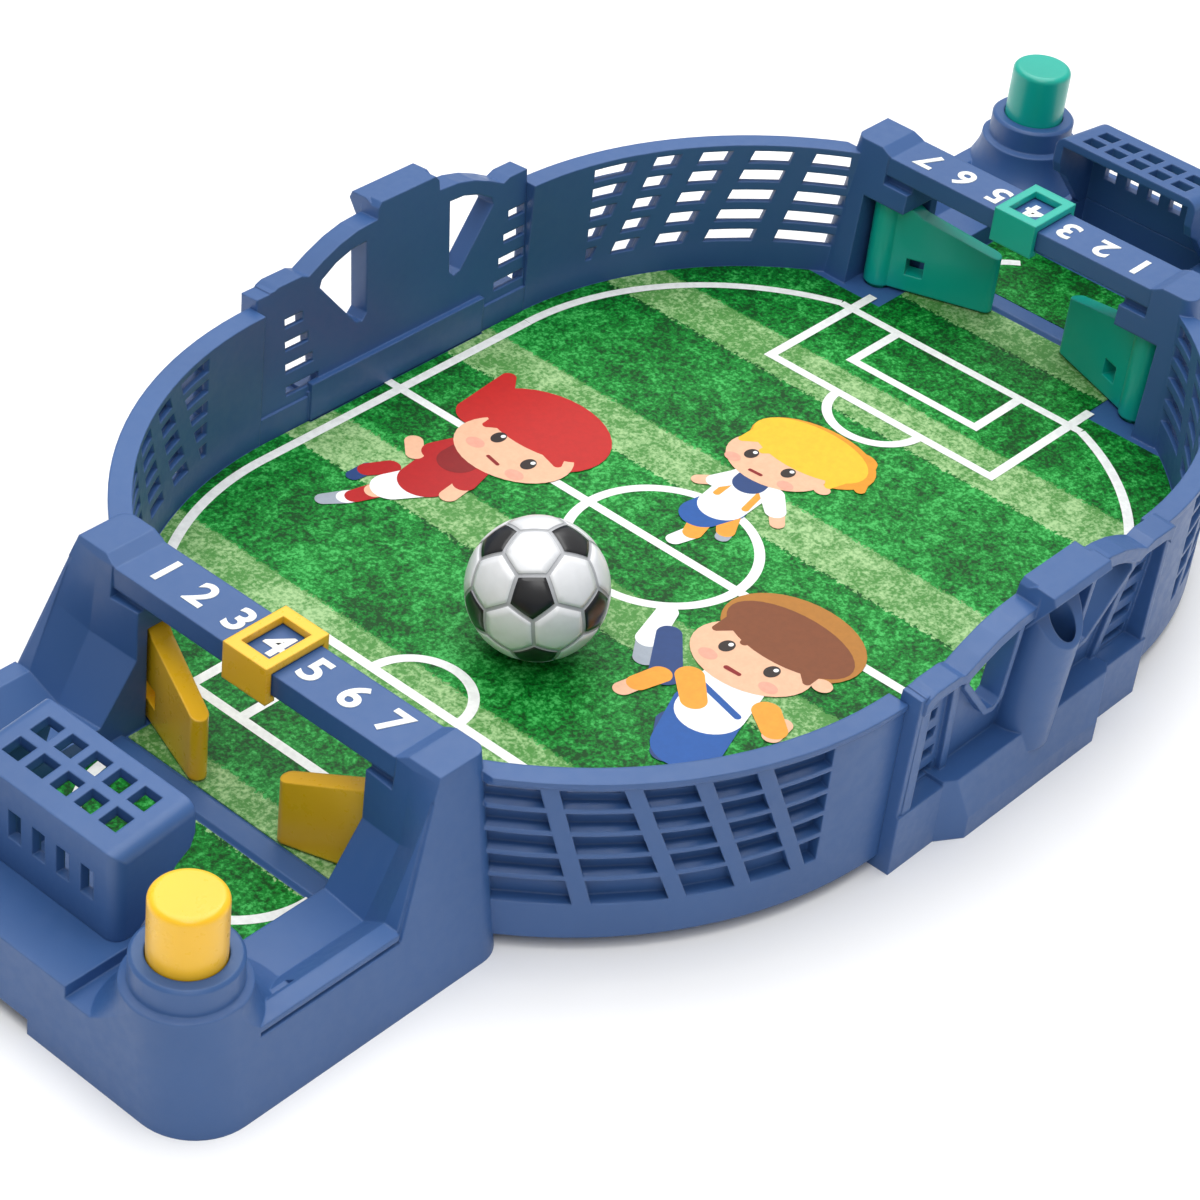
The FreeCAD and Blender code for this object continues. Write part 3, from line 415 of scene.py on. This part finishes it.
# places in millimetres on the pitch; a patch is (ink, x, y, half length, half width, turn)
# and a limb is (ink, x, y, end x, end y, width, end width)
players = {
    "redPlayer": [
        ("grey", -43.5, 57.0, -39.5, 54.5, 3.6, 4.6), ("white", -39.5, 54.5, -37.5, 53.4, 4.2, 4.2),
        ("red", -38.0, 53.6, -33.5, 52.2, 4.2, 5.0), ("skin", -33.5, 52.2, -29.0, 51.0, 4.6, 5.6),
        ("navy", -33.0, 58.8, -29.0, 58.6, 3.4, 3.8), ("red", -29.5, 58.4, -25.5, 56.0, 4.2, 4.8),
        ("white", -30.0, 51.0, -23.0, 47.5, 9.0, 11.0),
        ("red", -23.0, 48.0, -13.0, 48.5, 12.0, 14.0),
        ("skin", -23.5, 41.2, -17.0, 42.0, 4.0, 4.0), ("red", -18.0, 42.0, -12.0, 44.0, 5.0, 6.0),
        ("skin", -15.0, 59.2, -18.0, 56.0, 4.0, 4.0), ("red", -14.0, 53.5, -8.5, 51.5, 6.6, 6.6),
        ("darkRed", -13.0, 48.5, -10.5, 48.6, 9.0, 9.0),
        ("auburn", 8.0, 45.0, 13.5, 16.6, 0.0), ("auburn", 4.0, 57.0, 17.5, 62.5, 12.0, 3.4),
        ("skin", -1.5, 43.5, 10.6, 13.4, 8.0),
        ("auburn", 9.5, 45.0, 8.6, 15.4, 0.0), ("auburn", 7.0, 51.0, 1.0, 53.4, 9.0, 2.0),
        ("auburn", 6.5, 40.0, 1.5, 34.0, 9.0, 2.0),
        ("blush", -5.6, 50.6, 1.7, 2.2, 0.0), ("blush", -8.0, 37.4, 1.7, 2.2, 0.0),
        ("eye", -0.6, 48.6, 2.1, 1.5, 6.0), ("eye", -3.0, 38.0, 2.1, 1.5, 6.0),
        ("white", 0.4, 48.2, 0.6, 0.5, 0.0), ("white", -2.0, 37.6, 0.6, 0.5, 0.0),
        ("darkRed", -7.2, 45.4, -7.9, 42.2, 0.9, 0.9),
    ],
    "fairPlayer": [
        ("white", 0.5, 1.2, 5.0, 0.2, 3.6, 4.2), ("orange", 5.0, 0.2, 11.5, 2.4, 4.2, 5.4),
        ("grey", 8.5, -4.8, 11.0, -4.0, 3.2, 3.6), ("orange", 10.5, -4.0, 14.5, -1.4, 4.0, 5.0),
        ("blue", 11.5, 3.2, 17.0, 2.0, 9.6, 10.6), ("white", 17.0, 2.2, 27.0, 3.2, 10.6, 11.6),
        ("orange", 19.4, 5.8, 25.5, 6.4, 1.6, 1.6), ("orange", 19.4, -1.8, 25.5, -0.6, 1.6, 1.6),
        ("skin", 20.2, 11.4, 23.0, 8.6, 3.2, 3.6), ("white", 22.6, 8.6, 26.5, 6.8, 4.4, 5.0),
        ("skin", 20.5, -9.4, 24.0, -6.4, 3.2, 3.6), ("white", 23.6, -6.4, 27.5, -2.4, 4.6, 5.4),
        ("navy", 27.2, 3.4, 28.4, 3.6, 7.4, 7.4),
        ("darkBlond", 46.0, 1.6, 9.8, 15.2, 0.0), ("darkBlond", 50.0, -7.0, 43.0, -13.4, 9.0, 2.4),
        ("skin", 37.4, 4.4, 9.0, 11.6, 4.0), ("skin", 37.0, -8.0, 1.7, 1.9, 0.0),
        ("blond", 46.4, 2.6, 8.2, 14.2, 0.0), ("blond", 45.0, 12.0, 38.6, 14.8, 8.0, 1.8),
        ("blond", 46.0, 6.0, 38.4, 9.0, 8.0, 1.8), ("blond", 46.0, -7.0, 39.0, -8.2, 8.0, 1.8),
        ("blush", 32.0, 12.0, 1.5, 1.9, 0.0), ("blush", 32.2, -2.0, 1.5, 1.9, 0.0),
        ("eye", 35.8, 10.0, 1.9, 1.4, 0.0), ("eye", 36.2, 0.4, 1.9, 1.4, 0.0),
        ("white", 36.7, 9.7, 0.55, 0.5, 0.0), ("white", 37.1, 0.1, 0.55, 0.5, 0.0),
        ("darkRed", 31.0, 6.4, 31.2, 3.8, 0.9, 0.9),
    ],
    "brownPlayer": [
        ("grey", -33.0, -20.0, -27.5, -17.0, 5.0, 6.4),
        ("white", -28.0, -16.6, -19.0, -13.6, 5.4, 4.6),
        ("navy", -34.0, -26.0, -24.0, -18.4, 6.8, 5.2),
        ("skin", -43.5, -23.4, -39.6, -24.2, 4.0, 4.0),
        ("orange", -40.0, -24.2, -35.0, -25.4, 4.6, 5.0),
        ("navy", -51.5, -41.0, -44.0, -37.5, 6.0, 9.0),
        ("blue", -47.0, -42.5, -36.0, -38.5, 14.0, 15.0),
        ("white", -36.0, -39.0, -28.0, -37.0, 14.0, 13.6),
        ("blue", -33.6, -43.6, -30.4, -30.6, 1.6, 1.6),
        ("skin", -33.0, -51.6, -29.0, -51.0, 4.0, 4.0),
        ("orange", -31.4, -50.8, -28.2, -46.4, 5.4, 6.0),
        ("orange", -36.0, -34.8, -31.0, -29.6, 5.4, 6.0),
        ("lightBrown", -6.4, -35.4, 12.0, 15.8, 0.0),
        ("skin", -17.6, -34.2, 10.2, 13.2, 4.0), ("skin", -14.0, -48.6, 2.0, 2.2, 0.0),
        ("brown", -7.4, -35.4, 8.2, 14.8, 0.0), ("brown", -8.0, -26.0, -15.6, -23.4, 8.0, 1.8),
        ("brown", -8.0, -31.0, -15.0, -30.0, 8.0, 1.8),
        ("brown", -9.0, -43.0, -15.4, -46.0, 8.0, 1.8),
        ("blush", -23.0, -27.4, 1.6, 2.1, 0.0), ("blush", -22.4, -42.0, 1.6, 2.1, 0.0),
        ("eye", -18.4, -28.4, 2.0, 1.5, 0.0), ("eye", -18.0, -39.4, 2.0, 1.5, 0.0),
        ("white", -17.5, -28.7, 0.6, 0.5, 0.0), ("white", -17.1, -39.7, 0.6, 0.5, 0.0),
        ("darkRed", -23.6, -32.6, -23.5, -35.6, 1.2, 1.0),
    ],
}
printLayer = {"first": 0.00020, "step": 0.000004}


def inkPatch(bm, x, y, z, halfLength, halfWidth, turn):
    matrix = (Matrix.Translation((x, y, z)) @ Matrix.Rotation(turn, 4, "Z")
              @ Matrix.Diagonal((halfLength, halfWidth, 1, 1)))
    made = bmesh.ops.create_circle(bm, cap_ends=True, segments=36, radius=1, matrix=matrix)
    return made["verts"][0].link_faces[0]


def inkLimb(bm, start, end, width, endWidth, z):
    # a tapering band: a rounded patch cut in two, its halves pulled apart
    a, b = Vector((*start, z)), Vector((*end, z))
    along = (b - a).normalized()
    face = inkPatch(bm, *start, z, width / 2, width / 2, math.atan2(along.y, along.x))
    for vert in face.verts:
        if (vert.co - a).dot(along) > 1e-7:
            vert.co = b + (vert.co - a) * (endWidth / width)
    return face


def makePlayer(name, marks):
    bm = bmesh.new()
    used = sorted({mark[0] for mark in marks})
    for layer, (ink, *numbersOfMark) in enumerate(marks):
        z = tableTop + printLayer["first"] + layer * printLayer["step"]
        sizes = [value * mm for value in numbersOfMark]
        if len(sizes) == 5:
            face = inkPatch(bm, sizes[0], sizes[1], z, sizes[2], sizes[3],
                            math.radians(numbersOfMark[4]))
        else:
            face = inkLimb(bm, sizes[0:2], sizes[2:4], sizes[4], sizes[5], z)
        face.material_index = used.index(ink)
    faceUp(bm)
    return meshObject(name, bm, [playerInks[ink] for ink in used], "table")


playerInks = {name: printInk(f"{name}Ink", colour, 0.04) for name, colour in inks.items()}
for playerName, marks in players.items():
    makePlayer(playerName, marks)
print("players printed")


numbers = {
    "height": 0.0066,
    "pitch": 0.0094,
    "raise": 0.00015,
    "bold": 0.00022,
    "barX": 0.1140,
    "last": 7,
    "z": tableTop + 0.0335,
}


def makeNumbers(end, sign):
    joined = bmesh.new()
    middle = (numbers["last"] + 1) / 2
    turn = math.radians(90 * sign)
    for value in range(1, numbers["last"] + 1):
        curve = bpy.data.curves.new(f"figure{value}", "FONT")
        curve.body = str(value)
        curve.size = numbers["height"] * 1.40
        curve.align_x = "CENTER"
        curve.align_y = "CENTER"
        curve.extrude = numbers["raise"]
        curve.offset = numbers["bold"]
        curve.resolution_u = 6
        temp = bpy.data.objects.new("temp", curve)
        mesh = bpy.data.meshes.new_from_object(temp)
        y = (value - middle) * numbers["pitch"] * sign
        place = Matrix.Translation((sign * numbers["barX"], y, numbers["z"]))
        mesh.transform(place @ Matrix.Rotation(turn, 4, "Z"))
        joined.from_mesh(mesh)
        bpy.data.objects.remove(temp)
    return meshObject(f"scoreNumbers_{end}", joined, [lineWhite], "table")


makeNumbers("yellow", -1)
makeNumbers("green", 1)
print("markings and numbers made")


ballLook = {
    "radius": 0.5 * (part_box("ball")[1][2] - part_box("ball")[0][2]),
    "seam": 0.00035,
    "seamDepth": 0.00030,
    "seamLipDepth": 0.00008,
    "white": (0.80, 0.81, 0.83),
    "black": (0.012, 0.012, 0.014),
    "seamGrey": (0.42, 0.43, 0.45),
    "cuts": 5,
    "facing": (-0.711, -0.491, 0.503),
    "nextDark": (-0.402, -0.461, -0.791),
}


def ballMaterial(name, colour, rough):
    mat, tree, shader = newMaterial(name)
    coords = objectCoords(tree)
    cloud = noise(tree, coords, 160.0, 3.0, 0.55)
    pores = noise(tree, coords, 2400.0, 2.0, 0.6)
    darker = tuple(c * 0.90 for c in colour)
    link(tree, mixColour(tree, remap(tree, cloud, 0.0, 1.0, 0.4, 0.7), colour, darker),
         shader.inputs["Base Color"])
    link(tree, remap(tree, cloud, rough, rough + 0.1), shader.inputs["Roughness"])
    bump = tree.nodes.new("ShaderNodeBump")
    bump.inputs["Strength"].default_value = 0.08
    bump.inputs["Distance"].default_value = 0.0001
    link(tree, pores, bump.inputs["Height"])
    link(tree, bump.outputs["Normal"], shader.inputs["Normal"])
    shader.inputs["Coat Weight"].default_value = 0.15
    shader.inputs["Coat Roughness"].default_value = 0.15
    return mat


def makeBall():
    low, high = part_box("ball")
    centre = Vector([(a + b) / 2 for a, b in zip(low, high)])
    radius = ballLook["radius"]
    bm = bmesh.new()
    bmesh.ops.create_icosphere(bm, subdivisions=1, radius=radius)
    # turn one corner of the twenty-sided solid towards the chosen direction
    first = max(bm.verts, key=lambda v: v.co.z).co.copy()
    aim = Vector(ballLook["facing"]).normalized()
    bmesh.ops.rotate(bm, verts=bm.verts, matrix=first.rotation_difference(aim).to_matrix())
    # then spin it about that direction until a neighbouring corner points the other way given
    corners = sorted(bm.verts, key=lambda v: v.co.dot(aim))
    beside, wanted = (v - aim * v.dot(aim) for v in (corners[-2].co, Vector(ballLook["nextDark"])))
    spin = math.atan2(aim.dot(beside.cross(wanted)), beside.dot(wanted))
    bmesh.ops.rotate(bm, verts=bm.verts, matrix=Matrix.Rotation(spin, 3, aim))
    bmesh.ops.bevel(bm, geom=list(bm.verts), offset=33.333, offset_type="PERCENT",
                    affect="VERTICES", segments=1, profile=0.5, material=-1)
    bmesh.ops.remove_doubles(bm, verts=bm.verts, dist=1e-6)
    panels = list(bm.faces)
    for face in panels:
        face.material_index = 1 if len(face.verts) == 5 else 0
    rims = bmesh.ops.inset_individual(bm, faces=panels, thickness=ballLook["seam"],
                                      use_even_offset=True)["faces"]
    for face in rims:
        face.material_index = 2
    bmesh.ops.triangulate(bm, faces=[f for f in bm.faces if len(f.verts) > 4])
    bmesh.ops.subdivide_edges(bm, edges=list(bm.edges), cuts=ballLook["cuts"],
                              use_grid_fill=True)
    for vert in bm.verts:
        kinds = {face.material_index for face in vert.link_faces}
        depth = 0.0
        if kinds == {2}:
            depth = ballLook["seamDepth"]
        elif 2 in kinds:
            depth = ballLook["seamLipDepth"]
        vert.co = vert.co.normalized() * (radius - depth)
    bmesh.ops.translate(bm, verts=bm.verts, vec=centre)
    white = ballMaterial("ballWhite", ballLook["white"], 0.26)
    black = ballMaterial("ballBlack", ballLook["black"], 0.28)
    seam = ballMaterial("ballSeam", ballLook["seamGrey"], 0.45)
    obj = meshObject("footballBall", bm, [white, black, seam], "ball", smooth=True)
    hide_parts("ball")
    return obj


makeBall()
print("ball made")


def makeSprings():
    # each button's spring is remade from its part with merged vertices and the steel finish
    joints = {joint["name"]: joint for joint in frame["record"]["behaviour"]["joints"]}
    for name, joint in joints.items():
        if not name.startswith("button_press_"):
            continue
        node = name.replace("button_press_", "button_spring_")
        bm = bmesh.new()
        bm.from_mesh(nodes[node].data)
        bmesh.ops.remove_doubles(bm, verts=bm.verts, dist=1e-7)
        spring = meshObject(node.replace("button_spring", "returnSpring"), bm,
                            [finishes["steel"]], "table", smooth=True)
        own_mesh(spring)
        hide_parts(node)


makeSprings()
print("springs made")


studio = {
    "camera": (-0.4473, -0.3216, 0.4083),
    "azimuth": -52.83,
    "elevation": 37.16,
    "roll": 7.15,
    "lens": 101.58,
    "floor": (0.93, 0.93, 0.93),
    "floorHalf": 3.0,
    "roomLight": 0.46,
    "aim": (0, 0, 0.02),
    "lamps": [  # name, place, width, power
        ("overheadLamp", (0.10, 0.18, 1.35), 1.6, 21.0),
        ("keyLamp", (-0.55, -0.50, 1.00), 0.6, 3.2),
        ("rimLamp", (0.75, 0.55, 0.95), 0.8, 2.5),
    ],
}


def makeFloor():
    bm = bmesh.new()
    bmesh.ops.create_grid(bm, x_segments=1, y_segments=1, size=studio["floorHalf"])
    mesh = bpy.data.meshes.new("studioFloor")
    bm.to_mesh(mesh)
    bm.free()
    floor = bpy.data.objects.new("studioFloor", mesh)
    bpy.context.scene.collection.objects.link(floor)
    mat, tree, shader = newMaterial("paleFloor")
    shader.inputs["Base Color"].default_value = (*studio["floor"], 1.0)
    shader.inputs["Roughness"].default_value = 0.7
    mesh.materials.append(mat)


def makeLights():
    world = bpy.data.worlds.new("softRoom")
    world.use_nodes = True
    background = world.node_tree.nodes["Background"]
    background.inputs["Color"].default_value = (1, 1, 1, 1)
    background.inputs["Strength"].default_value = studio["roomLight"]
    bpy.context.scene.world = world
    for name, place, width, power in studio["lamps"]:
        data = bpy.data.lights.new(name, "AREA")
        data.shape = "SQUARE"
        data.size = width
        data.energy = power
        lamp = bpy.data.objects.new(name, data)
        lamp.location = place
        aim = Vector(studio["aim"]) - Vector(place)
        lamp.rotation_euler = aim.to_track_quat("-Z", "Y").to_euler()
        bpy.context.scene.collection.objects.link(lamp)


def makeCamera():
    azimuth, elevation = (math.radians(studio[key]) for key in ("azimuth", "elevation"))
    back = Vector((math.sin(azimuth) * math.cos(elevation),
                   -math.cos(azimuth) * math.cos(elevation), math.sin(elevation)))
    right = Vector((0, 0, 1)).cross(back).normalized()
    up = back.cross(right)
    roll = math.radians(studio["roll"])
    side = right * math.cos(roll) + up * math.sin(roll)
    top = up * math.cos(roll) - right * math.sin(roll)
    basis = Matrix((side, top, back)).transposed().to_4x4()
    data = bpy.data.cameras.new("studioCamera")
    data.lens = studio["lens"]
    data.sensor_width = 36.0
    data.clip_start = 0.01
    data.clip_end = 20.0
    camera = bpy.data.objects.new("studioCamera", data)
    camera.matrix_world = Matrix.Translation(studio["camera"]) @ basis
    bpy.context.scene.collection.objects.link(camera)
    bpy.context.scene.camera = camera


makeFloor()
makeLights()
makeCamera()
bpy.context.scene.view_settings.view_transform = "Standard"
print("stage ready")
